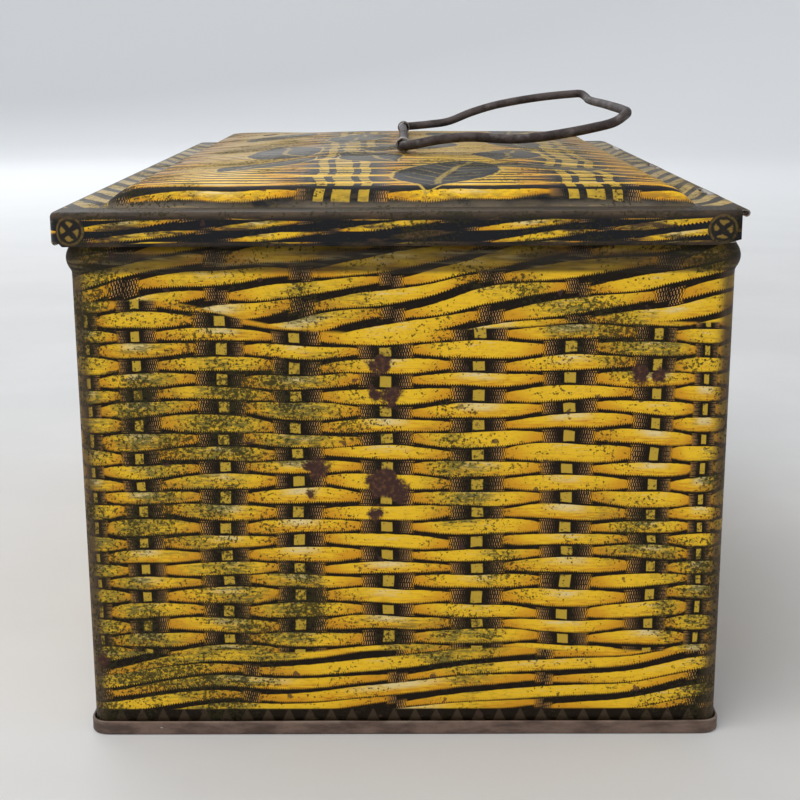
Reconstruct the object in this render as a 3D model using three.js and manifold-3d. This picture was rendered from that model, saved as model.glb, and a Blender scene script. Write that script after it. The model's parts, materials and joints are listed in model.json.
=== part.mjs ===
// A rectangular tinplate biscuit tin with a hinged lid, a wire carrying handle on the lid
// and a hasp at the front.
// Millimetres, +Z up. Y runs along the tin. The lid opens at -X and is hinged at +X.
// z = 0 is the surface that the tin stands on.
import * as THREE from "three";
import { mergeVertices } from "three/addons/utils/BufferGeometryUtils.js";
import Module from "manifold-3d";

const wasm = await Module();
wasm.setup();

// ---- Driving dimensions ----

const BODY_WIDTH = 127.4; // outer faces of the wall, along X
const BODY_LENGTH = 208; // outer faces of the wall, along Y
const RIM_PLANE = 107; // top of the lid's flat margin
const BODY_SHEET = 0.38; // tinplate of the wall and the base
const LID_SHEET = 0.3; // tinplate of the lid and the hinge straps
const GAP = 0.3; // between pieces that touch or are soldered
const BODY_CORNER = 3; // radius of the wall's upright corners
const BODY_OFFSET_X = 1.7; // the hasp stands out further than the hinge, so the body sits behind the middle

const SEAM_HEIGHT = 2.9; // folded rim round the base
const SEAM_PROUD = 0.85;
const BASE_RECESS = 1.6; // the base panel stands this far above the rim's underside
const BASE_PANEL_MIDDLE = -30; // innermost outline of the base panel, inside the wall's outer face
const WALL_CURL_RADIUS = 0.5; // of the wall's top edge, turned inwards

const BEAD_BOTTOM = 95.6; // swage that the lid's skirt comes down to
const BEAD_TOP = 100.4;
const BEAD_PROUD = 1;

const LID_FRONT_OVERHANG = 3.1; // beyond the wall at -X
const LID_REAR_OVERHANG = 1.5; // beyond the wall at +X, before the hinge curl
const LID_END_OVERHANG = 1.8; // beyond the wall at each end
const LID_EDGE_RADIUS = 1;
const LID_CORNER = 2.5;
const SKIRT_BOTTOM = 100.5;
const FLAP_FRONT_CORNER = 2; // free lower corners of the end skirts
const FLAP_REAR_CORNER = 3;
const HEM_RADIUS = 0.6; // rolled edge inside the front skirt

const CREASE_INSET = 8.5; // flat margin of the lid, up to the crease
const RAMP_WIDTH = 6;
const RAMP_RISE = 3.8;
const DOME_RISE = 2.6; // above the top of the ramp

const HINGE_WIRE_RADIUS = 0.33;
const HINGE_OUT = 1.08; // from the wall's outer face to the hinge wire
const HINGE_DROP = 0.7; // from the rim plane down to the hinge wire
const HINGE_X = BODY_WIDTH / 2 + HINGE_OUT;
const HINGE_Z = RIM_PLANE - HINGE_DROP;
const HINGE_BORE_RADIUS = 0.4; // inside of the lid's curl
const STRAP_BORE_RADIUS = 0.45; // inside of the straps' loops
const STRAP_WIDTH = 14;
const STRAP_SPACING = 70;
const STRAP_NOTCH_CLEARANCE = 0.5; // each side of a strap, in the lid's curl

const BAIL_RADIUS = 1.1;
const BAIL_PIVOT_HEIGHT = 8.1; // above the rim plane
const BAIL_HALF_SPAN = 42;
const LOOP_WIDTH = 4; // tinplate loops that hold the handle
const LOOP_SPREAD = 38.4; // from the tin's middle to the middle of each loop
const LOOP_CLEARANCE = 0.25;
const LOOP_SLOT_HALF = 0.8; // half of the slot's opening across the loop's two legs
const LOOP_FOOT = 3; // reach of the legs' ends, clinched under the lid

const HASP_PIN_RADIUS = 0.45;
const HASP_BORE_RADIUS = 0.52;
const HASP_SHEET = 0.38;
const HASP_WIDTH = 16;
const HASP_LENGTH = 20;
const HASP_EYE_RADIUS = 3.1;
const HASP_EYE_DROP = 12.4; // from the pin down to the button's axis
const HASP_PIN_DROP = 0.1; // from the skirt's lower edge down to the pin
const BUTTON_HEIGHT = 3.05; // from the wall to the button's crown
const BUTTON_SHANK_RADIUS = 0.8;

const CORNER_STEPS = 6; // facets in each upright corner
const WALL_X = BODY_WIDTH / 2;
const WALL_Y = BODY_LENGTH / 2;

// ---- Solids ----

function toSolid(geometry) {
  const bare = geometry.clone();
  bare.deleteAttribute("normal");
  bare.deleteAttribute("uv");
  const merged = mergeVertices(bare, 1e-4);
  return new wasm.Manifold(
    new wasm.Mesh({
      numProp: 3,
      vertProperties: new Float32Array(merged.attributes.position.array),
      triVerts: new Uint32Array(merged.index.array),
    }),
  );
}

function toGeometry(solid) {
  const mesh = solid.getMesh();
  const geometry = new THREE.BufferGeometry();
  geometry.setAttribute(
    "position",
    new THREE.BufferAttribute(new Float32Array(mesh.vertProperties), 3),
  );
  geometry.setIndex(new THREE.BufferAttribute(new Uint32Array(mesh.triVerts), 1));
  geometry.computeVertexNormals();
  return geometry;
}

function cut(geometry, cutters) {
  const start = toSolid(geometry);
  return toGeometry(
    cutters.reduce((solid, cutter) => solid.subtract(toSolid(cutter)), start),
  );
}

function join(geometries) {
  const [first, ...rest] = geometries.map(toSolid);
  return toGeometry(rest.reduce((solid, next) => solid.add(next), first));
}

function block(low, high) {
  const size = high.map((value, i) => value - low[i]);
  const middle = high.map((value, i) => (value + low[i]) / 2);
  return new THREE.BoxGeometry(...size).translate(...middle);
}

// ---- Outlines ----

// One turn round a rectangle with round corners, counter-clockwise from above.
// The front corners are those at -X.
function roundedRectangle({ low, high, frontRadius, rearRadius, z }) {
  const corners = [
    [high[0] - rearRadius, high[1] - rearRadius, rearRadius],
    [low[0] + frontRadius, high[1] - frontRadius, frontRadius],
    [low[0] + frontRadius, low[1] + frontRadius, frontRadius],
    [high[0] - rearRadius, low[1] + rearRadius, rearRadius],
  ];
  return corners.flatMap(([x, y, radius], corner) =>
    Array.from({ length: CORNER_STEPS + 1 }, (_, step) => {
      const angle = ((corner + step / CORNER_STEPS) * Math.PI) / 2;
      return new THREE.Vector3(
        x + radius * Math.cos(angle),
        y + radius * Math.sin(angle),
        z,
      );
    }),
  );
}

// Skin over a stack of outlines that all have as many points.
// A ring joins its last outline to its first; any other stack is closed by a flat fan at each end.
function loft(outlines, ring) {
  const count = outlines[0].length;
  const points = outlines.flat();
  const faces = [];
  const spans = ring ? outlines.length : outlines.length - 1;
  for (let row = 0; row < spans; row++) {
    const below = row * count;
    const above = ((row + 1) % outlines.length) * count;
    for (let i = 0; i < count; i++) {
      const next = (i + 1) % count;
      faces.push(below + i, below + next, above + next);
      faces.push(below + i, above + next, above + i);
    }
  }
  if (!ring) {
    addFan(points, faces, 0, count, true);
    addFan(points, faces, (outlines.length - 1) * count, count, false);
  }
  const geometry = new THREE.BufferGeometry().setFromPoints(points);
  geometry.setIndex(faces);
  geometry.computeVertexNormals();
  return geometry;
}

function addFan(points, faces, start, count, facesDown) {
  const middle = new THREE.Vector3();
  for (let i = 0; i < count; i++) middle.addScaledVector(points[start + i], 1 / count);
  points.push(middle);
  const hub = points.length - 1;
  for (let i = 0; i < count; i++) {
    const a = start + i;
    const b = start + ((i + 1) % count);
    faces.push(hub, facesDown ? b : a, facesDown ? a : b);
  }
}

function arc(x, z, radius, fromDegrees, toDegrees, steps) {
  return Array.from({ length: steps + 1 }, (_, i) => {
    const degrees = fromDegrees + ((toDegrees - fromDegrees) * i) / steps;
    const angle = THREE.MathUtils.degToRad(degrees);
    return [x + radius * Math.cos(angle), z + radius * Math.sin(angle)];
  });
}

// ---- Strips of sheet folded in the XZ plane ----

function stripShape(middleLine, thickness) {
  const line = middleLine.map(([x, z]) => new THREE.Vector2(x, z));
  const normals = line.slice(1).map((point, i) => {
    const along = point.clone().sub(line[i]).normalize();
    return new THREE.Vector2(-along.y, along.x);
  });
  const side = (distance) =>
    line.map((point, i) => {
      const before = normals[Math.max(i - 1, 0)];
      const after = normals[Math.min(i, normals.length - 1)];
      const mitre = before.clone().add(after).divideScalar(1 + before.dot(after));
      return point.clone().addScaledVector(mitre, distance);
    });
  return new THREE.Shape([...side(thickness / 2), ...side(-thickness / 2).reverse()]);
}

// Extrudes an outline drawn in X and Z along Y, over a width centred at y.
function alongY(shape, width, y) {
  return new THREE.ExtrudeGeometry(shape, { depth: width, bevelEnabled: false })
    .rotateX(Math.PI / 2)
    .translate(0, y + width / 2, 0);
}

function rodAlongY(radius, length, x, z, sides) {
  return new THREE.CylinderGeometry(radius, radius, length, sides).translate(x, 0, z);
}

// ---- Body ----

// A profile point is [how far outside the wall's outer face, height].
function bodyOutline([proud, z]) {
  const radius = Math.max(BODY_CORNER + proud, 0.5);
  return roundedRectangle({
    low: [-WALL_X - proud, -WALL_Y - proud],
    high: [WALL_X + proud, WALL_Y + proud],
    frontRadius: radius,
    rearRadius: radius,
    z,
  });
}

function beadProfile(offset, steps) {
  return Array.from({ length: steps + 1 }, (_, i) => {
    const t = i / steps;
    const z = BEAD_BOTTOM + t * (BEAD_TOP - BEAD_BOTTOM);
    return [BEAD_PROUD * Math.sin(Math.PI * t) ** 0.7 + offset, z];
  });
}

const BUTTON_Z = SKIRT_BOTTOM - HASP_PIN_DROP - HASP_EYE_DROP;

// The wall runs from the base's fold up over the bead to a neck, whose edge is curled inwards.
function bodyWall() {
  const neckTop = RIM_PLANE - LID_SHEET - 0.42;
  const curlZ = neckTop - WALL_CURL_RADIUS;
  const wallBottom = BODY_SHEET + GAP;
  const outside = [[0, wallBottom], ...beadProfile(0, 10), [0, curlZ]];
  const curledEdge = arc(-WALL_CURL_RADIUS, curlZ, WALL_CURL_RADIUS, 0, 180, 6).slice(1);
  const curlTail = [
    [-1, neckTop - 1.1],
    [-0.8, neckTop - 1.3],
    [-0.6, neckTop - 1.3],
    [-BODY_SHEET, neckTop - 1.5],
  ];
  const inside = [...beadProfile(-BODY_SHEET, 10).reverse(), [-BODY_SHEET, wallBottom]];
  const profile = [...outside, ...curledEdge, ...curlTail, ...inside];
  const wall = loft(profile.map(bodyOutline), true);
  const rivetHole = new THREE.CylinderGeometry(
    BUTTON_SHANK_RADIUS + GAP,
    BUTTON_SHANK_RADIUS + GAP,
    4,
    16,
  )
    .rotateZ(Math.PI / 2)
    .translate(-WALL_X, 0, BUTTON_Z);
  return cut(wall, [rivetHole]);
}

// The base's edge is folded up round the wall's bottom edge, and its panel is countersunk.
function basePlate() {
  const lipInside = SEAM_PROUD - BODY_SHEET;
  const recessOutside = -BODY_SHEET - GAP;
  const recessInside = recessOutside - BODY_SHEET;
  const profile = [
    [BASE_PANEL_MIDDLE, BASE_RECESS],
    [recessInside, BASE_RECESS],
    [recessInside, 0],
    [SEAM_PROUD - 0.35, 0],
    [SEAM_PROUD, 0.35],
    [SEAM_PROUD, SEAM_HEIGHT - 0.4],
    [SEAM_PROUD - 0.15, SEAM_HEIGHT - 0.1],
    [SEAM_PROUD - 0.35, SEAM_HEIGHT],
    [GAP, SEAM_HEIGHT - 0.08],
    [GAP, SEAM_HEIGHT - 0.4],
    [lipInside, SEAM_HEIGHT - 0.7],
    [lipInside, BODY_SHEET],
    [recessOutside, BODY_SHEET],
    [recessOutside, BASE_RECESS + BODY_SHEET],
    [BASE_PANEL_MIDDLE, BASE_RECESS + BODY_SHEET],
  ];
  return loft(profile.map(bodyOutline), false);
}

// Strap of tinplate soldered to the neck at the back and looped round the hinge wire.
function hingeStrap(y) {
  const radius = STRAP_BORE_RADIUS + LID_SHEET / 2;
  const plateX = HINGE_X - radius;
  const middleLine = [
    [plateX, BEAD_TOP + 0.5],
    ...arc(HINGE_X, HINGE_Z, radius, 180, -90, 18),
  ];
  return alongY(stripShape(middleLine, LID_SHEET), STRAP_WIDTH, y);
}

// Button on the front wall that the hasp's eye presses over, riveted through the wall.
function catchButton() {
  const inside = -BODY_SHEET - GAP;
  const profile = [
    [0, inside - 0.6],
    [1.7, inside - 0.6],
    [2, inside - 0.3],
    [2, inside],
    [BUTTON_SHANK_RADIUS, inside],
    [BUTTON_SHANK_RADIUS, GAP],
    [1.9, GAP],
    [1.9, GAP + 0.4],
    [1.3, GAP + 0.8],
    [1.3, BUTTON_HEIGHT - 1.5],
    [2.1, BUTTON_HEIGHT - 1],
    [2.1, BUTTON_HEIGHT - 0.7],
    [1.6, BUTTON_HEIGHT - 0.2],
    [0.8, BUTTON_HEIGHT],
    [0, BUTTON_HEIGHT],
  ];
  return new THREE.LatheGeometry(
    profile.map(([radius, height]) => new THREE.Vector2(radius, height)),
    20,
  )
    .rotateZ(Math.PI / 2)
    .translate(-WALL_X, 0, BUTTON_Z);
}

// ---- Lid ----

const LID_LOW = [-WALL_X - LID_FRONT_OVERHANG, -WALL_Y - LID_END_OVERHANG];
const LID_HIGH = [WALL_X + LID_REAR_OVERHANG, WALL_Y + LID_END_OVERHANG];

function domeRise(inset) {
  const ramp = THREE.MathUtils.clamp((inset - CREASE_INSET) / RAMP_WIDTH, 0, 1);
  const domeStart = CREASE_INSET + RAMP_WIDTH;
  const domeWidth = (LID_HIGH[0] - LID_LOW[0]) / 2 - domeStart;
  const dome = THREE.MathUtils.clamp((inset - domeStart) / domeWidth, 0, 1);
  const quarterTurn = Math.PI / 2;
  return RAMP_RISE * Math.sin(ramp * quarterTurn) + DOME_RISE * Math.sin(dome * quarterTurn);
}

// A profile point is [how far inside the lid's outer edge, height].
// Corners tighten up to the crease and open out again over the dome.
function lidOutline([inset, z]) {
  const dome = Math.max(inset - CREASE_INSET, 0);
  const halfWidth = (LID_HIGH[0] - LID_LOW[0]) / 2 - inset;
  const radius = Math.min(Math.max(LID_CORNER - inset, 0.8) + 0.6 * dome, 0.95 * halfWidth);
  return roundedRectangle({
    low: [LID_LOW[0] + inset, LID_LOW[1] + inset],
    high: [LID_HIGH[0] - inset, LID_HIGH[1] - inset],
    frontRadius: radius,
    rearRadius: Math.max(radius - 1, 0.5),
    z,
  });
}

// Insets at which the lid's panel has an outline, from the crease over the ramp to the middle.
const PANEL_INSETS = [CREASE_INSET, 9.5, 11, 12.5, CREASE_INSET + RAMP_WIDTH, 20, 28, 38, 49, 60];

function lidProfile() {
  const edge = LID_EDGE_RADIUS;
  const panel = (drop) =>
    PANEL_INSETS.map((inset) => [inset, RIM_PLANE - drop + domeRise(inset)]);
  const turn = (radius) => arc(edge, RIM_PLANE - edge, radius, 180, 90, 4);
  return [
    ...panel(LID_SHEET).reverse(),
    ...turn(edge - LID_SHEET).reverse(),
    [LID_SHEET, SKIRT_BOTTOM],
    [0, SKIRT_BOTTOM],
    ...turn(edge),
    ...panel(0),
  ];
}

// Region of the XZ plane beyond a flap's free lower corner, to be cut away.
function cornerWaste(x, radius, outward) {
  const centre = x - outward * radius;
  const far = x + outward * 6;
  const [from, to] = outward > 0 ? [0, -90] : [180, 270];
  const waste = [
    ...arc(centre, SKIRT_BOTTOM + radius, radius, from, to, 8),
    [centre, SKIRT_BOTTOM - 3],
    [far, SKIRT_BOTTOM - 3],
    [far, SKIRT_BOTTOM + radius],
  ];
  return new THREE.Shape(waste.map(([px, pz]) => new THREE.Vector2(px, pz)));
}

// The skirt at the back is left out, and the sheet there runs on into the hinge curl.
function lidShell() {
  const skin = loft(lidProfile().map(lidOutline), false);
  const flapFace = LID_HIGH[1] - LID_SHEET;
  const curlBottom = HINGE_Z - HINGE_BORE_RADIUS - LID_SHEET;
  const sheetEnd = HINGE_X - 0.6;
  const flapEnd = HINGE_X - 0.35;
  const beyondX = LID_HIGH[0] + 6;
  const beyondY = LID_HIGH[1] + 2;
  const belowSkirt = SKIRT_BOTTOM - 10;
  const rearSkirt = block(
    [WALL_X - 2, -flapFace + 0.05, belowSkirt],
    [beyondX, flapFace - 0.05, RIM_PLANE - LID_EDGE_RADIUS],
  );
  const rearEdge = block(
    [sheetEnd, -beyondY, curlBottom - 0.2],
    [beyondX, beyondY, RIM_PLANE + 1],
  );
  const flapEdge = block([flapEnd, -beyondY, belowSkirt], [beyondX, beyondY, RIM_PLANE]);
  const flapCorners = [-1, 1].flatMap((end) => [
    alongY(cornerWaste(flapEnd, FLAP_REAR_CORNER, 1), 3, end * (flapFace + 1.4)),
    alongY(cornerWaste(LID_LOW[0], FLAP_FRONT_CORNER, -1), 3, end * (flapFace + 1.4)),
  ]);
  const slotLow = [-LOOP_SLOT_HALF, -LOOP_WIDTH / 2 - GAP, RIM_PLANE];
  const slotHigh = [LOOP_SLOT_HALF, LOOP_WIDTH / 2 + GAP, RIM_PLANE + 10];
  const slots = [-1, 1].map((end) =>
    block(slotLow, slotHigh).translate(0, end * LOOP_SPREAD, 0),
  );
  const trimmed = cut(skin, [rearSkirt, rearEdge, flapEdge, ...flapCorners, ...slots]);
  const whole = join([trimmed, hingeCurl(sheetEnd), frontHem()]);
  return cut(whole, strapNotches());
}

// The lid's rear edge, curled down round the hinge wire.
function hingeCurl(sheetEnd) {
  const radius = HINGE_BORE_RADIUS + LID_SHEET / 2;
  const middleLine = [
    [sheetEnd - 1, HINGE_Z + radius],
    ...arc(HINGE_X, HINGE_Z, radius, 90, -180, 18),
  ];
  const length = 2 * (LID_HIGH[1] - 0.6);
  return alongY(stripShape(middleLine, LID_SHEET), length, 0);
}

function frontHem() {
  const x = LID_LOW[0] + HEM_RADIUS;
  const length = 2 * (LID_HIGH[1] - LID_CORNER);
  return rodAlongY(HEM_RADIUS, length, x, SKIRT_BOTTOM + HEM_RADIUS, 12);
}

function strapNotches() {
  const halfWidth = STRAP_WIDTH / 2 + STRAP_NOTCH_CLEARANCE;
  return strapPlaces().map((y) =>
    block([HINGE_X - 1.5, y - halfWidth, HINGE_Z - 2], [HINGE_X + 3, y + halfWidth, HINGE_Z + 3]),
  );
}

function strapPlaces() {
  return [-STRAP_SPACING, 0, STRAP_SPACING];
}

// ---- Handle ----

const PIVOT_Z = RIM_PLANE + BAIL_PIVOT_HEIGHT;

// Tinplate strip bent round the handle's pivot bar.
// Its legs pass through the lid's slot and are clinched below.
function handleLoop(y) {
  const radius = BAIL_RADIUS + LOOP_CLEARANCE + LID_SHEET / 2;
  const legX = LID_SHEET;
  const sheetUnderside = RIM_PLANE + RAMP_RISE + DOME_RISE - LID_SHEET;
  const footZ = sheetUnderside - GAP - LID_SHEET;
  const opening = THREE.MathUtils.radToDeg(Math.asin(legX / radius));
  const middleLine = [
    [-LOOP_FOOT, footZ],
    [-legX, footZ],
    ...arc(0, PIVOT_Z, radius, -90 - opening, -450 + opening, 24),
    [legX, footZ],
    [LOOP_FOOT, footZ],
  ];
  return alongY(stripShape(middleLine, LID_SHEET), LOOP_WIDTH, y);
}

// The handle is one wire whose ends butt in the middle of the pivot bar.
// Each point is [x, y, height above the rim plane]; the wire is bent a little out of true.
function handleBail() {
  const near = -BAIL_HALF_SPAN;
  const far = BAIL_HALF_SPAN;
  const pivot = BAIL_PIVOT_HEIGHT;
  const waypoints = [
    [0, 0.3, pivot],
    [0, 20, pivot],
    [0, far - 2, pivot],
    [0.5, far - 0.5, pivot],
    [2, far, pivot + 0.1],
    [7.5, far, 8.7],
    [12.4, far, 9.4],
    [19, far, 11.9],
    [24.6, far, 13.6],
    [30.3, far, 14.8],
    [38.8, far, 16.1],
    [47.2, far, 16.9],
    [49.8, far - 0.5, 17],
    [50.9, far - 2.8, 16.3],
    [51, 33, 15.7],
    [51.3, 0, 15.6],
    [51.2, -33, 15.5],
    [51.2, near + 2.8, 15.2],
    [50.4, near + 0.5, 14.7],
    [48, near, 13.2],
    [43, near, 11.9],
    [32.6, near, 10.1],
    [24.6, near, 9.5],
    [15.4, near, 10],
    [8.7, near, 9.5],
    [2, near, pivot + 0.2],
    [0.5, near + 0.5, pivot],
    [0, near + 2, pivot],
    [0, -20, pivot],
    [0, -0.3, pivot],
  ];
  const path = new THREE.CatmullRomCurve3(
    waypoints.map(([x, y, height]) => new THREE.Vector3(x, y, RIM_PLANE + height)),
    false,
    "centripetal",
  );
  const section = new THREE.Shape().absarc(0, 0, BAIL_RADIUS, 0, 2 * Math.PI);
  return new THREE.ExtrudeGeometry(section, {
    steps: 150,
    curveSegments: 5,
    bevelEnabled: false,
    extrudePath: path,
  });
}

// ---- Hasp ----

const HASP_X = LID_LOW[0] - GAP - HASP_SHEET - HASP_BORE_RADIUS;
const HASP_Z = SKIRT_BOTTOM - HASP_PIN_DROP;
const KNUCKLE = HASP_WIDTH / 4; // the leaf has the two outer knuckles and the flap the middle one

// Leaf soldered to the front skirt.
function haspLeaf() {
  const radius = HASP_BORE_RADIUS + HASP_SHEET / 2;
  const plateTop = RIM_PLANE - LID_EDGE_RADIUS - 0.2;
  const outer = [[HASP_X + radius, plateTop], ...arc(HASP_X, HASP_Z, radius, 0, -300, 20)];
  const leaf = alongY(stripShape(outer, HASP_SHEET), HASP_WIDTH, 0);
  const flapRoom = block(
    [HASP_X - 2, -KNUCKLE - GAP, HASP_Z - 2],
    [HASP_X + 3, KNUCKLE + GAP, HASP_Z + 1.3],
  );
  return cut(leaf, [flapRoom]);
}

function haspPin() {
  return rodAlongY(HASP_PIN_RADIUS, HASP_WIDTH + 1, HASP_X, HASP_Z, 14);
}

// Flap that hangs from the pin, with a round eye that presses over the button.
function haspFlap() {
  const radius = HASP_BORE_RADIUS + HASP_SHEET / 2;
  const plateX = HASP_X + radius;
  const knuckle = [
    [plateX, HASP_Z - 3],
    ...arc(HASP_X, HASP_Z, radius, 0, 300, 20),
  ];
  const tongue = alongY(stripShape(knuckle, HASP_SHEET), 2 * KNUCKLE, 0);
  const half = HASP_WIDTH / 2 - 1;
  const top = HASP_Z - 1.5;
  const bottom = HASP_Z - HASP_LENGTH;
  const outline = new THREE.Shape();
  outline.moveTo(-half, top);
  outline.lineTo(-half, bottom + half);
  outline.absarc(0, bottom + half, half, Math.PI, 2 * Math.PI, false);
  outline.lineTo(half, top);
  outline.closePath();
  const eyeZ = HASP_Z - HASP_EYE_DROP;
  const eye = new THREE.Path().absarc(0, eyeZ, HASP_EYE_RADIUS, 0, 2 * Math.PI, true);
  outline.holes.push(eye);
  const plate = new THREE.ExtrudeGeometry(outline, {
    depth: HASP_SHEET,
    bevelEnabled: false,
    curveSegments: 16,
  })
    .rotateX(Math.PI / 2)
    .rotateZ(Math.PI / 2)
    .translate(plateX - HASP_SHEET / 2, 0, 0);
  return join([plate, tongue]);
}

// ---- Assembly ----

const printedTin = { color: 0x5a4522, roughness: 0.45, metalness: 0.3 };
const bareTin = { color: 0x8a857c, roughness: 0.4, metalness: 0.9 };
const rustyWire = { color: 0x3a302b, roughness: 0.7, metalness: 0.5 };

const assembly = new THREE.Group();
assembly.position.x = BODY_OFFSET_X;

function place(name, geometry, finish) {
  const mesh = new THREE.Mesh(geometry, new THREE.MeshStandardMaterial(finish));
  mesh.name = name;
  assembly.add(mesh);
}

place("body_wall", bodyWall(), printedTin);
place("base_plate", basePlate(), printedTin);
place("catch_button", catchButton(), bareTin);
strapPlaces().forEach((y, i) => place(`hinge_strap_${i + 1}`, hingeStrap(y), bareTin));
place("hinge_wire", rodAlongY(HINGE_WIRE_RADIUS, BODY_LENGTH, HINGE_X, HINGE_Z, 12), rustyWire);
place("lid_shell", lidShell(), printedTin);
place("handle_loop_1", handleLoop(-LOOP_SPREAD), bareTin);
place("handle_loop_2", handleLoop(LOOP_SPREAD), bareTin);
place("handle_bail", handleBail(), rustyWire);
place("hasp_leaf", haspLeaf(), bareTin);
place("hasp_pin", haspPin(), rustyWire);
place("hasp_flap", haspFlap(), bareTin);

const tin = new THREE.Group();
tin.add(assembly);
export default tin;
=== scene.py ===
"""Looks of an old rectangular biscuit tin printed with basketwork: fine meshes and procedural materials.

Lengths are in millimetres, in the frame's own axes, until mesh_object() turns them into metres.
"""

import json
import math
from functools import partialmethod, reduce

import bpy
import numpy as np
from mathutils import Matrix, Vector

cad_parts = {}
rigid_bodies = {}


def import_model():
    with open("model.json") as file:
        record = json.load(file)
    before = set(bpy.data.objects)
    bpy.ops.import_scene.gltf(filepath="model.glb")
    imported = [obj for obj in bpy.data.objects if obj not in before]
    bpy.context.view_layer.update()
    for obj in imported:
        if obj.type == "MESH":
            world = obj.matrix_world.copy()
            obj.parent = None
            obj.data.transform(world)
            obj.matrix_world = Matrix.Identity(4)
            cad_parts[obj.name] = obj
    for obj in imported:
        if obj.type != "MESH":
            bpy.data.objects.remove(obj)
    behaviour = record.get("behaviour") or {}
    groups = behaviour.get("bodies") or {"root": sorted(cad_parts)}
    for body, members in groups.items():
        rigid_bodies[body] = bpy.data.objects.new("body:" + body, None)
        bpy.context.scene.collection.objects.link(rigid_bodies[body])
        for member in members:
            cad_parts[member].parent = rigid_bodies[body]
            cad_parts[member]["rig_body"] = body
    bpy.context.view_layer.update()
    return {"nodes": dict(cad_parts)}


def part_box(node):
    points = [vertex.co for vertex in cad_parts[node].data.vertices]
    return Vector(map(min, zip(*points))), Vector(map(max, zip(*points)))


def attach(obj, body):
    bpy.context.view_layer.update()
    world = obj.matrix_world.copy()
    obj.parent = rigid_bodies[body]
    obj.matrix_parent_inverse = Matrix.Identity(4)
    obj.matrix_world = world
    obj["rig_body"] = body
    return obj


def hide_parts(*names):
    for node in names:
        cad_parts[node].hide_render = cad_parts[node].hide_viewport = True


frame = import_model()

MM = 0.001


def corners(node):
    """Lowest and highest corner of a CAD node, in millimetres."""
    low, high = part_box(node)
    return low / MM, high / MM


# ---- Driving dimensions ----

WALL_LOW, WALL_HIGH = corners("body_wall")
BASE_LOW, BASE_HIGH = corners("base_plate")
LID_LOW, LID_HIGH = corners("lid_shell")
WIRE_LOW, WIRE_HIGH = corners("hinge_wire")
BAIL_HIGH = corners("handle_bail")[1]

BEAD_PROUD = 1
BEAD_BOTTOM = 95.6
BEAD_TOP = 100.4
BODY_SHEET = 0.38
BODY_CORNER = 3
WALL_CURL = 0.5  # radius of the wall's top edge, turned inwards
WALL_X = (WALL_HIGH.x - WALL_LOW.x) / 2 - BEAD_PROUD
WALL_Y = WALL_HIGH.y - BEAD_PROUD
MIDDLE_X = (WALL_HIGH.x + WALL_LOW.x) / 2

LID_SHEET = 0.3
RIM_PLANE = 107
SKIRT_BOTTOM = LID_LOW.z
LID_EDGE_RADIUS = 1
LID_CORNER = 2.5
CREASE_INSET = 8.5
RAMP_WIDTH = 6
RAMP_RISE = 3.8
DOME_RISE = LID_HIGH.z - RIM_PLANE - RAMP_RISE
HEM_RADIUS = 0.6
FLAP_FRONT_CORNER = 2
FLAP_REAR_CORNER = 3

HINGE_X = (WIRE_LOW.x + WIRE_HIGH.x) / 2
HINGE_Z = (WIRE_LOW.z + WIRE_HIGH.z) / 2
CURL_RADIUS = RIM_PLANE - HINGE_Z
LID_FRONT = LID_LOW.x
LID_REAR = MIDDLE_X + WALL_X + 1.5  # where the rear margin would end if it weren't curled
FLAP_END = HINGE_X - 0.35
STRAPS = (-70, 0, 70)
STRAP_NOTCH_HALF = 7.5

ARC_STEPS = 6
COLUMN_STEP = 3.6

# ---- Camera and light ----

CAMERA_PLACE = (2.36, -382.6, 136.9)
CAMERA_PITCH = 0.2348
CAMERA_YAW = -0.00479
CAMERA_ROLL = -0.00423
CAMERA_LENS = 66.33


def add_camera():
    """Camera that looks along +Y, turned by yaw to the right, by pitch downwards and by roll."""
    heading = Matrix.Rotation(-CAMERA_YAW, 4, "Z")
    tilt = Matrix.Rotation(math.pi / 2 - CAMERA_PITCH, 4, "X")
    lean = Matrix.Rotation(CAMERA_ROLL, 4, "Z")
    data = bpy.data.cameras.new("camera")
    data.lens = CAMERA_LENS
    camera = bpy.data.objects.new("camera", data)
    camera.matrix_world = Matrix.Translation(Vector(CAMERA_PLACE) * MM) @ heading @ tilt @ lean
    bpy.context.scene.collection.objects.link(camera)
    bpy.context.scene.camera = camera


def add_area_light(name, place, size, power, colour):
    data = bpy.data.lights.new(name, "AREA")
    data.size = size
    data.energy = power
    data.color = colour
    light = bpy.data.objects.new(name, data)
    light.location = place
    light.rotation_euler = (-Vector(place)).to_track_quat("-Z", "Y").to_euler()
    bpy.context.scene.collection.objects.link(light)


def add_lights():
    world = bpy.data.worlds.new("studio")
    world.use_nodes = True
    background = world.node_tree.nodes["Background"]
    background.inputs["Color"].default_value = (0.93, 0.96, 1, 1)
    background.inputs["Strength"].default_value = 0.62
    bpy.context.scene.world = world
    add_area_light("soft_top", (-0.5, -0.55, 1.25), 1.1, 12, (1, 0.97, 0.93))
    add_area_light("soft_back", (-0.5, 1.2, 0.9), 1.2, 7, (0.96, 0.98, 1))


# ---- Arithmetic written as shader nodes ----


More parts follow.
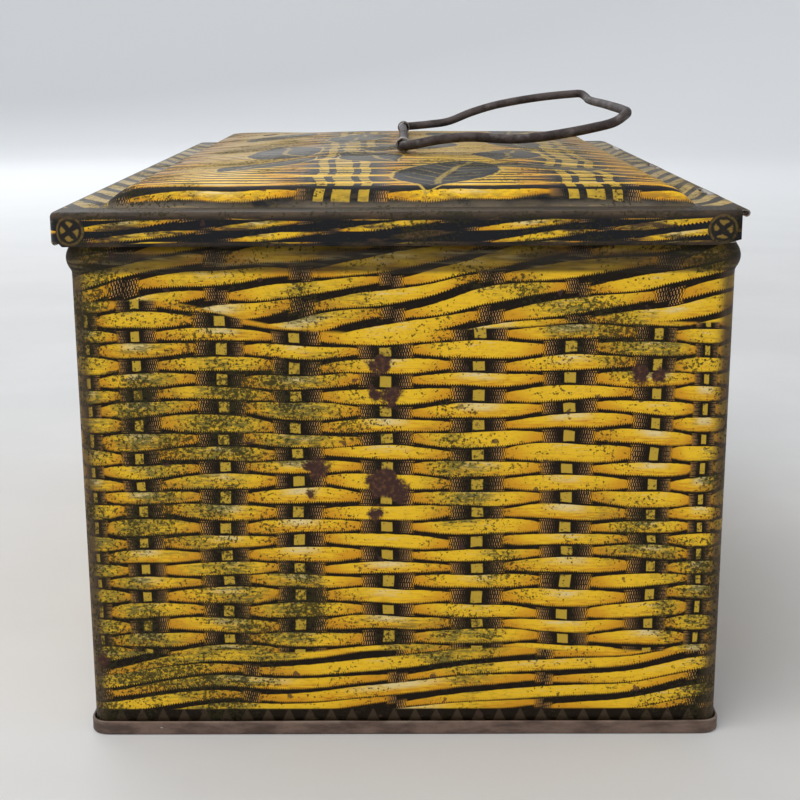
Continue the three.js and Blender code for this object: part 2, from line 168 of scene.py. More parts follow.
class Num:
    """A number or colour that a material's nodes work out."""

    def __init__(self, tree, socket):
        self.tree = tree
        self.socket = socket

    def calc(self, operation, *others):
        return calculate(self.tree, operation, self, *others)

    __add__ = __radd__ = partialmethod(calc, "ADD")
    __sub__ = partialmethod(calc, "SUBTRACT")
    __mul__ = __rmul__ = partialmethod(calc, "MULTIPLY")
    __truediv__ = partialmethod(calc, "DIVIDE")
    __pow__ = partialmethod(calc, "POWER")
    __abs__ = partialmethod(calc, "ABSOLUTE")
    least = partialmethod(calc, "MINIMUM")
    most = partialmethod(calc, "MAXIMUM")
    nearest = partialmethod(calc, "ROUND")

    def __rsub__(self, other):
        return calculate(self.tree, "SUBTRACT", other, self)

    def alternating(self):
        """0 at even whole numbers and 1 at odd ones."""
        return self.calc("PINGPONG", 1)

    def comb(self, period):
        """Triangle wave from 0 to 1."""
        return self.calc("PINGPONG", period / 2) * (2 / period)

    def rise(self, start, end):
        """0 before start and 1 after end, smooth between."""
        node = self.tree.nodes.new("ShaderNodeMapRange")
        node.interpolation_type = "SMOOTHSTEP"
        feed(self.tree, node.inputs["Value"], self)
        feed(self.tree, node.inputs["From Min"], start)
        feed(self.tree, node.inputs["From Max"], end)
        return Num(self.tree, node.outputs["Result"])

    def fall(self, start, end):
        return 1 - self.rise(start, end)

    def between(self, start, first, last, end):
        """0 before start, 1 from first to last and 0 after end."""
        return self.rise(start, first) * self.fall(last, end)


def feed(tree, socket, value):
    """Links a Num to a socket, or sets the socket to a plain number or colour."""
    if isinstance(value, Num):
        tree.links.new(value.socket, socket)
    else:
        socket.default_value = (*value, 1) if isinstance(value, tuple) else value


def calculate(tree, operation, *values):
    node = tree.nodes.new("ShaderNodeMath")
    node.operation = operation
    for socket, value in zip(node.inputs, values):
        feed(tree, socket, value)
    return Num(tree, node.outputs[0])


def lowest(values):
    return reduce(Num.least, values)


def highest(values):
    return reduce(Num.most, values)


def point(x, y, z):
    tree = next(value.tree for value in (x, y, z) if isinstance(value, Num))
    node = tree.nodes.new("ShaderNodeCombineXYZ")
    for socket, value in zip(node.inputs, (x, y, z)):
        feed(tree, socket, value)
    return Num(tree, node.outputs[0])


def split(vector):
    node = vector.tree.nodes.new("ShaderNodeSeparateXYZ")
    feed(vector.tree, node.inputs[0], vector)
    return [Num(vector.tree, socket) for socket in node.outputs]


def rescaled(vector, spans, shift):
    node = vector.tree.nodes.new("ShaderNodeVectorMath")
    node.operation = "MULTIPLY_ADD"
    feed(vector.tree, node.inputs[0], vector)
    node.inputs[1].default_value = [1 / span for span in spans]
    node.inputs[2].default_value = shift
    return Num(vector.tree, node.outputs[0])


def noise(vector, size, seed=0, detail=2, roughness=0.5):
    """Smooth noise round 0.5. size is the span of one hump."""
    tree = vector.tree
    spans = size if isinstance(size, tuple) else (size, size, size)
    node = tree.nodes.new("ShaderNodeTexNoise")
    feed(tree, node.inputs["Vector"], rescaled(vector, spans, (seed * 7.3, seed * 3.1, seed * 5.7)))
    node.inputs["Scale"].default_value = 1
    node.inputs["Detail"].default_value = detail
    node.inputs["Roughness"].default_value = roughness
    return Num(tree, node.outputs["Fac"])


def random_three(x, y, seed):
    """Three even random numbers from 0 to 1 for each pair of whole numbers."""
    vector = point(x, y, seed)
    node = vector.tree.nodes.new("ShaderNodeTexWhiteNoise")
    feed(vector.tree, node.inputs["Vector"], vector)
    return split(Num(vector.tree, node.outputs["Color"]))


def specks(vector, spacing, seed=0):
    """Distance to the nearest of many scattered points, in spacings."""
    tree = vector.tree
    node = tree.nodes.new("ShaderNodeTexVoronoi")
    feed(tree, node.inputs["Vector"], rescaled(vector, (spacing,) * 3, (seed, seed * 2, seed * 3)))
    node.inputs["Scale"].default_value = 1
    return Num(tree, node.outputs["Distance"])


def distance(vector, place):
    tree = vector.tree
    node = tree.nodes.new("ShaderNodeVectorMath")
    node.operation = "DISTANCE"
    feed(tree, node.inputs[0], vector)
    node.inputs[1].default_value = place
    return Num(tree, node.outputs["Value"])


def mix(amount, start, end):
    """Colour that goes from start to end as amount goes from 0 to 1."""
    tree = amount.tree
    node = tree.nodes.new("ShaderNodeMix")
    node.data_type = "RGBA"
    feed(tree, node.inputs["Factor"], amount)
    feed(tree, node.inputs[6], start)
    feed(tree, node.inputs[7], end)
    return Num(tree, node.outputs[2])


def new_material(name, specular=0.5, metallic=0):
    material = bpy.data.materials.new(name)
    material.use_nodes = True
    shader = material.node_tree.nodes["Principled BSDF"]
    shader.inputs["Specular IOR Level"].default_value = specular
    shader.inputs["Metallic"].default_value = metallic
    return material


def print_place(material):
    """The point on the printed sheet, in millimetres: along the wall, up it, and 0."""
    node = material.node_tree.nodes.new("ShaderNodeUVMap")
    node.uv_map = "sheet"
    return Num(material.node_tree, node.outputs[0])


def body_place(material):
    """The point on the piece, in millimetres."""
    tree = material.node_tree
    node = tree.nodes.new("ShaderNodeTexCoord")
    scaled = tree.nodes.new("ShaderNodeVectorMath")
    scaled.operation = "SCALE"
    scaled.inputs["Scale"].default_value = 1 / MM
    tree.links.new(node.outputs["Object"], scaled.inputs[0])
    return Num(tree, scaled.outputs[0])


def finished(material, colour, roughness, height, depth):
    """Closes a material. Its bump has a height of 0 to 1 that stands depth millimetres high."""
    tree = material.node_tree
    shader = tree.nodes["Principled BSDF"]
    feed(tree, shader.inputs["Base Color"], colour)
    feed(tree, shader.inputs["Roughness"], roughness)
    bump = tree.nodes.new("ShaderNodeBump")
    bump.inputs["Distance"].default_value = depth * MM
    feed(tree, bump.inputs["Height"], height)
    tree.links.new(bump.outputs["Normal"], shader.inputs["Normal"])
    return material


# ---- Colours, linear ----

PRINT_GLOSS = 0.16
GROUND = (0.009, 0.0045, 0.0008)
GROUND_BLUE = (0.009, 0.0095, 0.0115)
YELLOW = (0.88, 0.54, 0.022)
ORANGE = (0.66, 0.29, 0.012)
TAN = (0.60, 0.34, 0.15)
PALE = (0.82, 0.68, 0.34)
OLIVE = (0.135, 0.125, 0.03)
FLECK = (0.030, 0.026, 0.008)
STAKE = (0.52, 0.34, 0.035)
MOTTLE = (0.30, 0.17, 0.012)
RUST = (0.056, 0.027, 0.022)
RUST_LIGHT = (0.13, 0.058, 0.028)
WORN_BROWN = (0.075, 0.050, 0.030)
WORN_GREY = (0.17, 0.14, 0.105)
LEAF_DARK = (0.016, 0.018, 0.021)
LEAF_LINE = (0.52, 0.36, 0.07)
BARE_METAL = (0.42, 0.40, 0.36)
TARNISH = (0.12, 0.09, 0.06)

# ---- The printed basketwork ----

STROKE_HIGH = 0.74  # of the short hatching strokes at the canes' ends


def cane_rows(u, v, length, pitch, reach, thick, seed, tilt=0, brick=0.5, bars=(), teeth=0.46, blunt=2.8):
    """One field of drawn canes in rows, each row shifted against the next.

    Returns (cane, bar, ends, lift, chance): masks of the canes and of the upright stakes between them,
    how near the cane's end a point is, how far up its thickness, and a random number for each cane.
    """
    row = (v / pitch).nearest()
    shifted = u / length - row.alternating() * brick
    column = shifted.nearest()
    first, second, third = random_three(column, row, seed)
    x = (shifted - column) * length
    y = v - row * pitch - x * tilt - x * (first - 0.5) * 0.045
    along = abs(x) / reach
    beyond = abs(x) - reach
    ragged = noise(point(u, v, seed), (1.7, 0.8, 1), seed=seed, detail=2) - 0.5
    half = (1 - along**blunt * 0.46) * (thick * 0.9 + third * thick * 0.16) + ragged * 0.3
    strand = (y / STROKE_HIGH).nearest()
    comb = (u + strand.alternating() * (teeth / 2) + ragged * 0.5).comb(teeth)
    edge = (half - y).least(y + half - u.comb(teeth) * 0.42)
    solid = edge.rise(0, 0.16) * (comb * 1.4 - beyond - 0.6).rise(0, 0.5)
    stroke = (comb - (beyond + 1.8) / 5 + ragged * 0.4).rise(0, 0.3)
    stroke = stroke * (0.46 - abs(y / STROKE_HIGH - strand)).rise(0, 0.12)
    fringe = (thick * 0.92 - abs(y)).rise(0, 0.2) * stroke * beyond.rise(-0.8, 0)
    cane = solid.most(fringe * 0.85)
    bar = None
    if bars:
        from_stake = length / 2 - abs(x)
        bar = highest([(half_bar - abs(from_stake - place)).rise(0, 0.16) for place, half_bar in bars])
        bar = bar * (pitch * 0.37 - abs(v - row * pitch) + ragged * 0.5).rise(0, 0.2)
    return cane, bar, along, y / half, second


def cane_colour(parts, place, worn):
    """Colour of the drawn canes, from golden middles to orange and hatched tan ends."""
    cane, bar, along, lift, chance = parts
    u, v, _ = split(place)
    grain = noise(place, (3.2, 0.35, 1), seed=4, detail=1)
    middle = mix((grain - 0.5 + chance * 0.3 - lift * 0.2).rise(0.05, 0.6), YELLOW, ORANGE)
    body = mix((along + lift * -0.12).rise(0.45, 0.92) * 0.9, middle, ORANGE)
    body = mix(along.rise(0.97, 1.06) * 0.85, body, TAN)
    shine = along.fall(0.05, 0.45) * lift.rise(-0.3, 0.5)
    body = mix(shine * (grain + chance * 0.5).rise(0.6, 1) * 0.8, body, PALE)
    streak = noise(place, (4.5, 0.5, 1), seed=9, detail=3, roughness=0.65)
    rubbed = along.fall(0.3, 0.9) * (streak + worn * 0.42 + chance * 0.1 + lift * 0.06).rise(0.72, 1)
    mottle = noise(place, (1.3, 0.6, 1), seed=5, detail=3, roughness=0.7)
    body = mix(rubbed * (mottle.rise(0.38, 0.56) * 0.65 + 0.25), body, OLIVE)
    body = mix(mottle.rise(0.5, 0.8) * 0.5, body, MOTTLE)
    return mix(worn * (mottle.rise(0.4, 0.6) * 0.3 + 0.1), body, OLIVE)


def drawn(parts, place, worn, ground):
    """Canes and the stakes between them, in their colours, over a ground."""
    cane, bar, _, _, _ = parts
    if bar is not None:
        ground = mix(bar, ground, STAKE)
    return mix(cane, ground, cane_colour(parts, place, worn))


def ageing(place, worn, colour):
    """Fine dark flecks, in drifts, and small rust spots over the print."""
    drift = noise(place, 8, seed=12, detail=2)
    pitting = noise(place, 0.75, seed=3, detail=3, roughness=0.75)
    fleck = (drift * 0.35 + pitting * 0.85 + worn * 0.095).rise(0.70, 0.75)
    dots = (drift * 0.5 + pitting * 0.3 + worn * 0.11 - specks(place, 1.25)).rise(0.27, 0.33)
    marks = fleck.most(dots)
    colour = mix(marks * 0.85, colour, FLECK)
    spot = (noise(place, 1.5, seed=21, detail=3) * 0.7 - specks(place, 7, 2)).rise(0.27, 0.33)
    return mix(spot * 0.8, colour, RUST), marks.most(spot)


def rust_patches(place, patches, ragged):
    """Raggedly round patches. Each patch is (along, up, radius)."""
    depth = highest([radius - distance(place, (along, up, 0)) for along, up, radius in patches])
    edge = (noise(place, 2.2, seed=31, detail=4, roughness=0.7) - 0.5) * ragged
    return (depth + edge).rise(-0.35, 0.7)


# Along the wall, up it, and radius. The near end wall runs from -WALL_X to WALL_X.
WALL_RUST = (
    (-4.2, 77.4, 2.3), (-5.6, 77, 1.6), (-2.4, 70.8, 2.1),
    (-5.8, 71.6, 1.5), (-17.2, 56.4, 2.5), (-18.4, 51, 1.2),
    (-3.8, 53.4, 3.6), (-1, 51.5, 2.2), (-5.4, 47, 1.6),
    (46, 75.2, 2.1), (49.6, 74.8, 1.8), (-61.5, 16.5, 1.5),
    (96, 62, 3), (133, 31, 2.4), (137.5, 28, 1.5),
    (181, 70, 2), (228, 22, 3.3), (-110, 48, 2.8),
    (-151, 69, 2), (-156, 66, 2.6), (-205, 30, 2.2),
    (-246, 58, 1.7), (318, 66, 3.1), (323, 62, 1.9),
    (361, 34, 2.3),
)

CANE_LENGTH = 35.3  # from one stake to the next but one
CANE_PITCH = 2.965
CROWDED_REACH = 17.7
HIGH_BORDER_BOTTOM = 86.2
LOW_BORDER_TOP = 18
LAST_CORNER = 3 * WALL_X + 2 * WALL_Y
WALL_CORNERS = (-WALL_X - 2 * WALL_Y, -WALL_X, WALL_X, WALL_X + 2 * WALL_Y, LAST_CORNER)


def corner_distance(u):
    """How far a point of the wall is from the nearest upright corner, along the wall."""
    return lowest([abs(u - corner) for corner in WALL_CORNERS])


def crowded(u):
    """Shift that draws the stakes closer together near the upright corners, by one whole cane at each."""
    shift = 0
    for corner in WALL_CORNERS:
        past = u - corner
        near = (CROWDED_REACH - abs(past)).most(0)
        side = past / (abs(past) + 0.01)
        shift = shift - side * near * near * (CANE_LENGTH / 2 / CROWDED_REACH**2)
    return shift


def wall_weave(place, worn):
    """Basketwork between two borders of long canes, over a row of dark teeth at the foot."""
    u, z, _ = split(place)
    sway = noise(place, (24, 9, 1), seed=1, detail=1) - 0.5
    drift = noise(place, (38, 400, 1), seed=2, detail=1) - 0.5
    height = z + sway * 3.4
    along = u + drift * 9 + sway * 2
    left_stakes = u.between(-63, -48, -36, -20)
    woven = u + crowded(u) + drift * 3 + sway * 1.6 + 2.7 - left_stakes * 3
    weave = cane_rows(woven, height, CANE_LENGTH, CANE_PITCH, 12.8, 1.6, 11, bars=((0, 1.2),))
    upper = height - u * 0.13 + drift * 6
    high = cane_rows(along, upper, 35, 3.55, 15.5, 1.65, 12, tilt=0.03, blunt=2.6)
    lower = height - sway * 4 - u * 0.07 + drift * 10
    low = cane_rows(along, lower, 60, 2.9, 28.5, 1.42, 13, tilt=0.015, blunt=2.2)

    paint = drawn(weave, place, worn, GROUND)
    left_half = u.between(-WALL_X - 1, -WALL_X, -WALL_X, 0)
    sloped = abs(u).fall(0, WALL_X) * 2.5 - left_half * 4
    above = (z + sway * 5 + drift * 3 + sloped).rise(HIGH_BORDER_BOTTOM, HIGH_BORDER_BOTTOM + 0.6)
    paint = mix(above, paint, drawn(high, place, worn, GROUND))
    below = (z + sway * 5).fall(LOW_BORDER_TOP, LOW_BORDER_TOP + 0.6)
    paint = mix(below, paint, drawn(low, place, worn, GROUND))
    teeth = (u.comb(4.3) - (z - 3) * 0.22).rise(0.35, 0.5) * 0.6
    return mix(z.fall(5.2, 5.6), paint, mix(teeth, GROUND, WORN_BROWN))


def worn_bead(place, bead, paint):
    """Rubs the print off the bead, down to dark and olive streaks."""
    u, z, _ = split(place)
    streak = noise(point(u + z * 2.5, z, 0), (9, 0.9, 1), seed=14, detail=3)
    tone = mix(streak.rise(0.5, 0.72), (0.022, 0.017, 0.012), (0.125, 0.098, 0.045))
    gone = noise(place, (16, 3, 1), seed=17, detail=3).fall(0.3, 0.62) * 0.3 + 0.68
    return mix(bead * gone.least(0.96), paint, tone)


def printed_wall():
    material = new_material("printed_wall", PRINT_GLOSS)
    place = print_place(material)
    u, z, _ = split(place)
    from_corner = corner_distance(u)
    rubbing = noise(place, (30, 22, 1), seed=6, detail=2)
    left_third = u.between(-WALL_X - 0.5, -WALL_X, -38, -12)
    worn = (rubbing.rise(0.46, 0.66) + from_corner.fall(2, 9) * 0.4 + left_third * 0.35).least(1)
    edge_wear = from_corner.fall(1.2, 4.2) * (rubbing + 0.2).rise(0.3, 0.7)
    paint = mix(edge_wear * 0.9, wall_weave(place, worn), WORN_BROWN)
    bead = z.rise(BEAD_BOTTOM - 0.9, BEAD_BOTTOM + 0.2)
    paint, marks = ageing(place, worn, worn_bead(place, bead, paint))
    rust = rust_patches(place, WALL_RUST, 5.5)
    rust_grain = noise(place, 0.9, seed=33, detail=4)
    paint = mix(rust, paint, mix(rust_grain.rise(0.45, 0.72), RUST, RUST_LIGHT))
    rough = 0.33 + rubbing * 0.18 + worn * 0.1 + marks * 0.2 + bead * 0.08 + rust * 0.45
    relief = rust * (rust_grain * 0.8 + 0.2) - marks * 0.25 + noise(place, 0.5, seed=8, detail=2) * 0.08
    return finished(material, paint, rough.least(0.92), relief + noise(place, 14, seed=7) * 0.9, 0.22)


ROSETTES = (-61.1, 61.9)  # along the end skirts
ROSETTE_HEIGHT = 103.5
SKIRT_TOP_ROW = 104.45


def rosette(place, along, up):
    """Little four-part flower in a ring. Returns masks of the flower and of its dark ground."""
    u, v, _ = split(place)
    x = u - along
    y = v - up
    radius = (x * x + y * y) ** 0.5
    arms = abs(x + y * 0.8).least(abs(y - x * 0.8))
    ragged = noise(place, 1.1, seed=49, detail=2)
    parted = (arms - ragged * 1.3 + 0.2).rise(0, 0.4)
    petals = (radius + ragged).fall(2, 2.4) * radius.rise(0.5, 0.8) * parted
    ring = abs(radius - 2.55).fall(0.1, 0.35) * ragged.rise(0.3, 0.6) * 0.5
    return petals.most(ring), radius.fall(2.85, 3)


def printed_skirt():
    """Short pairs of rising canes on blue-black, with a rosette at each end of the end skirts."""
    material = new_material("printed_skirt", PRINT_GLOSS)
    place = print_place(material)
    u, z, _ = split(place)
    sway = noise(place, (18, 5, 1), seed=41, detail=1) - 0.5
    along = u + sway * 9
    height = z - SKIRT_TOP_ROW + sway * 1.2
    canes = cane_rows(along, height, 25.5, 2.1, 9.8, 0.82, 44, tilt=0.12, brick=0.12)
    rubbing = noise(place, (9, 2, 1), seed=46, detail=4, roughness=0.65)
    worn = (rubbing.rise(0.42, 0.6) + z.rise(104.6, 106) * 0.9).least(1)
    kept = height.between(-3.5, -3.3, 1.15, 1.3)
    cane, bar, ends, lift, chance = canes
    kept = kept * rubbing.fall(0.54, 0.62) * chance.rise(0.06, 0.1)
    canes = (cane * kept, bar, ends, lift, chance)
    paint = drawn(canes, place, worn * 0.8 + 0.2, GROUND_BLUE)
    paint = mix(rubbing.rise(0.44, 0.6) * cane * 0.65, paint, (0.125, 0.070, 0.03))
    for centre in ROSETTES:
        flower, ground = rosette(place, centre, ROSETTE_HEIGHT)
        paint = mix(ground, paint, (0.016, 0.013, 0.011))
        paint = mix(flower * 0.8, paint, (0.30, 0.19, 0.035))
    paint = mix(z.rise(105.2, 106.6) * (rubbing + 0.2).rise(0.35, 0.85), paint, WORN_BROWN)
    low_edge = z.fall(101, 101.5) * rubbing.rise(0.35, 0.6)
    paint = mix(low_edge * 0.8, paint, WORN_BROWN)
    paint, marks = ageing(place, worn * 0.6, paint)
    rough = 0.34 + worn * 0.16 + marks * 0.2
    return finished(material, paint, rough, noise(place, 9, seed=7) - marks * 0.25, 0.18)


# Leaves on the lid: place along X and Y, half length, half width and turn in degrees.
LEAVES = (
    (9, -76, 20, 12, 75), (31, -62, 15, 6.5, 20),
    (-30, -58, 17, 8, 60), (-8, -46, 16, 8, 115),
    (24, -34, 20, 9, 80), (-28, -22, 20, 10, 100),
    (2, -12, 18, 9, 55), (28, 6, 18, 9, 110),
    (-12, 22, 19, 9, 85), (-34, 44, 16, 8, 60),
    (16, 44, 20, 10, 70), (-14, 66, 17, 8, 120),
    (32, 76, 14, 7, 80), (6, 86, 13, 5.5, 10),
)


def leaf_masks(x, y):
    """Masks of the dark leaves, and of their fine outlines and ribs."""
    shapes, ribs = [], []
    for place_x, place_y, half_length, half_width, degrees in LEAVES:
        turn = math.radians(degrees)
        dx = x - (place_x + MIDDLE_X)
        dy = y - place_y
        along = (dx * math.cos(turn) + dy * math.sin(turn)) / half_length
        across = (dy * math.cos(turn) - dx * math.sin(turn)) / half_width
        shape = (along * along + abs(across) * 1.2 + along * across * 0.4).most(0) ** 0.7
        side_ribs = (along * 9 - abs(across) * 4).comb(2).fall(0.06, 0.2) * abs(across).fall(0.5, 0.75)
        midrib = abs(across + along * along * 0.12).fall(0.03, 0.08)
        shapes.append(shape)
        ribs.append(midrib.most(side_ribs * 0.7) * shape.fall(0.8, 0.92))
    nearest = lowest(shapes)
    outline = nearest.between(1, 1.01, 1.03, 1.06)
    return nearest.fall(0.97, 1), outline.most(highest(ribs) * 0.6)


def lid_inset(x, y):
    """How far a point of the lid's top is inside the lid's outer edge."""
    middle = (LID_FRONT + LID_REAR) / 2
    half = (LID_REAR - LID_FRONT) / 2
    return (half - abs(x - middle)).least(LID_HIGH.y - abs(y))


# Along X and Y, and radius.
LID_RUST = (
    (-38, 61, 2.6), (-33, 64.5, 1.4), (47, 22, 2.2),
    (-52, -31, 1.8), (9, 92, 2.3), (41, -83, 1.2),
)

STAKE_SPACING = 49.4  # between the lid's groups of stakes
LID_CANE_PITCH = 3.3
LID_STRIPE_PITCH = 12


def lid_weave(place, sway, worn):
    """Canes along X, groups of stakes between them, canes that cross these, and dark leaves over all."""
    x, y, _ = split(place)
    across = x + sway * 4 - 13.9
    along = y + sway * 5
    bars = ((0, 1.9), (4.4, 1.1))
    weave = cane_rows(across, along, STAKE_SPACING, LID_CANE_PITCH, 16, 1.18, 61, brick=0, bars=bars)
    paint = drawn(weave, place, worn * 0.4, GROUND_BLUE)
    between = (across + STAKE_SPACING / 2, along + LID_CANE_PITCH / 2)
    crossing = cane_rows(*between, STAKE_SPACING, 3 * LID_CANE_PITCH, 15, 1.2, 62, brick=0)
    paint = drawn(crossing, place, worn * 0.4, paint)
    leaf, lines = leaf_masks(x + sway * 6, y + sway * 6)
    return mix(lines, mix(leaf, paint, LEAF_DARK), LEAF_LINE)


def lid_margin(place, sway, rubbing):
    """The flat margin: slanting stripes along the sides, plain at the ends."""
    x, y, _ = split(place)
    side = (LID_HIGH.y - abs(y)).rise(8, 9.5)
    lean = y - abs(x - MIDDLE_X) * 1.7 + sway * 4
    chipped = noise(place, (2.5, 2.5, 1), seed=57, detail=3).rise(0.3, 0.42)
    stripe = lean.comb(LID_STRIPE_PITCH).rise(0.36, 0.5) * chipped
    ground = mix(rubbing.rise(0.45, 0.75) * 0.6, (0.030, 0.022, 0.015), WORN_GREY)
    hue = noise(place, (6, 2, 1), seed=58).rise(0.35, 0.7)
    return mix(side * stripe * 0.9, ground, mix(hue, (0.56, 0.38, 0.11), (0.33, 0.25, 0.08)))


def lid_wear_and_sheen(place, inset, rubbing, paint):
    """Darker mottling, most of it low on the ramp, rubbed creases and edges, and a painted grey sheen for the
    grazing reflection on all but the near end.
    """
    _, y, _ = split(place)
    # darker mottling over the whole top, strongest low on the ramp next to the crease
    dark_mottle = noise(place, (3, 1.2, 1), seed=52, detail=4, roughness=0.7)
    low_ramp = inset.between(CREASE_INSET - 0.5, CREASE_INSET, CREASE_INSET + 1, CREASE_INSET + 4)
    paint = mix(dark_mottle.rise(0.4, 0.62) * (low_ramp * 0.4 + 0.16), paint, (0.085, 0.062, 0.03))
    crease = abs(inset - CREASE_INSET).fall(0.3, 1.5) * (rubbing + 0.2).rise(0.45, 0.8)
    paint = mix(crease * 0.7, paint, WORN_GREY)
    edge = inset.fall(0.6, 2.2) * rubbing.rise(0.3, 0.6)
    paint = mix(edge * 0.8, paint, WORN_BROWN)
    # painted sheen: grey that stands in for the grazing reflection, growing from the near end towards the far
    # end
    painted_sheen_cloud = noise(place, (40, 30, 1), seed=59, detail=4).rise(0.3, 0.75)
    painted_sheen_far = y.rise(-100, 20)
    return mix(painted_sheen_far * (painted_sheen_cloud * 0.25 + 0.28), paint, (0.18, 0.165, 0.14))


def printed_lid():
    material = new_material("printed_lid", PRINT_GLOSS / 2)
    place = print_place(material)
    x, y, _ = split(place)
    sway = noise(place, (26, 12, 1), seed=51, detail=1) - 0.5
    inset = lid_inset(x, y)
    rubbing = noise(place, (22, 22, 1), seed=56, detail=3)
    worn = rubbing.rise(0.45, 0.65)
    in_margin = inset.fall(CREASE_INSET - 0.3, CREASE_INSET + 0.5)
    paint = mix(in_margin, lid_weave(place, sway, worn), lid_margin(place, sway, rubbing))
    paint, marks = ageing(place, worn, lid_wear_and_sheen(place, inset, rubbing, paint))
    rust = rust_patches(place, LID_RUST, 4.5)
    rough = 0.40 + rubbing * 0.16 + worn * 0.1 + marks * 0.2 + rust * 0.4
    relief = noise(place, 12, seed=7) - marks * 0.25 + rust * 0.5
    return finished(material, mix(rust, paint, RUST), rough.least(0.92), relief, 0.2)


# ---- Metal ----


def inside_tin():
    """Dull tinplate with grey bloom, brown tide marks and pinprick rust."""
    material = new_material("inside_tin", metallic=0.85)
    place = body_place(material)
    bloom = noise(place, 13, seed=81, detail=4, roughness=0.6)
    spangle = noise(place, (2, 2, 9), seed=83, detail=2)
    tone = mix(bloom.rise(0.35, 0.7), BARE_METAL, (0.24, 0.215, 0.18))
    tone = mix(spangle.rise(0.35, 0.75) * 0.35, tone, (0.30, 0.26, 0.20))
    pits = (noise(place, 7, seed=85) * 0.9 - specks(place, 2.4)).rise(0.3, 0.42)
    tone = mix(pits, tone, RUST_LIGHT)
    return finished(material, tone, 0.36 + bloom * 0.3 + pits * 0.25, bloom - pits * 0.4, 0.15)


def base_rim():
    """Dark brown japanned tinplate, rubbed grey-brown along its edges and scratched white in places."""
    material = new_material("base_rim", metallic=0.25)
    place = body_place(material)
    _, _, z = split(place)
    cloud = noise(place, (9, 9, 3), seed=91, detail=4, roughness=0.6)
    tone = mix(cloud.rise(0.38, 0.66), (0.078, 0.048, 0.036), (0.19, 0.125, 0.094))
    rub = z.rise(2, 2.8) * noise(place, (5, 5, 2), seed=93, detail=3).rise(0.4, 0.7)
    tone = mix(rub * 0.7, tone, (0.24, 0.18, 0.14))
    knock = (noise(place, 16, seed=95) * 0.8 - specks(place, 3.4, 4)).rise(0.36, 0.42)
    tone = mix(knock * noise(place, 1.1, seed=96).rise(0.45, 0.6), tone, (0.45, 0.42, 0.37))
    grain = noise(place, 1.1, seed=97, detail=4, roughness=0.7)
    tone = mix(grain.rise(0.55, 0.75) * 0.5, tone, RUST_LIGHT)
    return finished(material, tone, 0.42 + cloud * 0.25 + grain * 0.12, grain * 0.5 + cloud * 0.5, 0.2)


def rusty_wire():
    """Iron wire rusted dark brown, polished greyer where hands and the lid rub it."""
    material = new_material("rusty_wire", metallic=0.45)
    place = body_place(material)
    cloud = noise(place, 6, seed=101, detail=4, roughness=0.65)
    grain = noise(place, 0.7, seed=103, detail=4, roughness=0.7)
    tone = mix(cloud.rise(0.4, 0.62), (0.036, 0.027, 0.027), (0.098, 0.080, 0.078))
    tone = mix(grain.rise(0.5, 0.72) * 0.45, tone, (0.125, 0.078, 0.060))
    polish = noise(place, (3, 11, 3), seed=105, detail=2).rise(0.56, 0.72)
    tone = mix(polish * 0.5, tone, (0.16, 0.145, 0.14))
    return finished(material, tone, 0.6 + grain * 0.2 - polish * 0.22, grain * 0.7 + cloud * 0.3, 0.12)


def bare_tin():
    """Tinplate fittings, tarnished brown with some metal still showing."""
    material = new_material("bare_tin", metallic=0.8)
    place = body_place(material)
    cloud = noise(place, 4, seed=111, detail=4, roughness=0.6)
    grain = noise(place, 0.8, seed=113, detail=3)
    tone = mix(cloud.rise(0.36, 0.64), (0.30, 0.275, 0.235), TARNISH)
    rust = (cloud * 0.6 + grain * 0.5).rise(0.56, 0.68)
    tone = mix(rust * 0.8, tone, RUST_LIGHT)
    return finished(material, tone, 0.34 + cloud * 0.25 + rust * 0.3, grain * 0.4 + cloud * 0.6, 0.1)


# ---- Sheets made as grids of points ----


def bump_field(x, y, dents):
    """Sum of smooth humps. Each dent is (x, y, spread along x, spread along y, depth)."""
    total = np.zeros(np.broadcast(x, y).shape)
    for place_x, place_y, spread_x, spread_y, depth in dents:
        painted_sheen_far = ((x - place_x) / spread_x) ** 2 + ((y - place_y) / spread_y) ** 2
        total += depth * np.exp(-painted_sheen_far)
    return total


def arc(across, up, radius, degrees):
    """Points round an arc of a profile, at some angles."""
    angles = np.radians(degrees)
    return list(zip(across + radius * np.cos(angles), up + radius * np.sin(angles)))


def side_splits(length, marks=()):
    """Fractions along a straight side, evenly spaced and with the marks among them."""
    count = max(2, round(length / COLUMN_STEP))
    even = [i / count for i in range(count)]
    free = [f for f in even if all(abs(f - mark) > 0.35 / count for mark in marks) or f == 0]
    return sorted(free + list(marks))


def turn_round(low, high, radii, splits):
    """One turn round a rectangle with round corners, counter-clockwise from above.

    Goes down the side at -X, then along the near end, the side at +X and the far end. radii are
    those of the corners in the order in which they are reached.
    Returns the points' X, Y and how far each is along the sheet, where the near end's is its X.
    """
    corner = np.array([(low[0], low[1]), (high[0], low[1]), (high[0], high[1]), (low[0], high[1])])
    inward = np.array([(1, 1), (-1, 1), (-1, -1), (1, -1)])
    centres = corner + inward * np.array(radii)[:, None]
    spans = [high[1] - low[1], high[0] - low[0]] * 2
    mark = low[0] - spans[0]
    points, places = [], []
    for side in range(4):
        facing = math.pi + side * math.pi / 2
        outward = np.array((math.cos(facing), math.sin(facing)))
        start = centres[side - 1] + outward * radii[side - 1]
        end = centres[side] + outward * radii[side]
        begun = mark + radii[side - 1]
        mark += spans[side]
        ended = mark - radii[side]
        for fraction in splits[side]:
            points.append(start + (end - start) * fraction)
            places.append(begun + (ended - begun) * fraction)
        for step in range(ARC_STEPS):
            angle = facing + step / ARC_STEPS * math.pi / 2
            points.append(centres[side] + radii[side] * np.array((math.cos(angle), math.sin(angle))))
            places.append(ended + 2 * radii[side] * step / ARC_STEPS)
    places.append(places[0] + 2 * (spans[0] + spans[1]))
    return np.array(points), np.array(places)


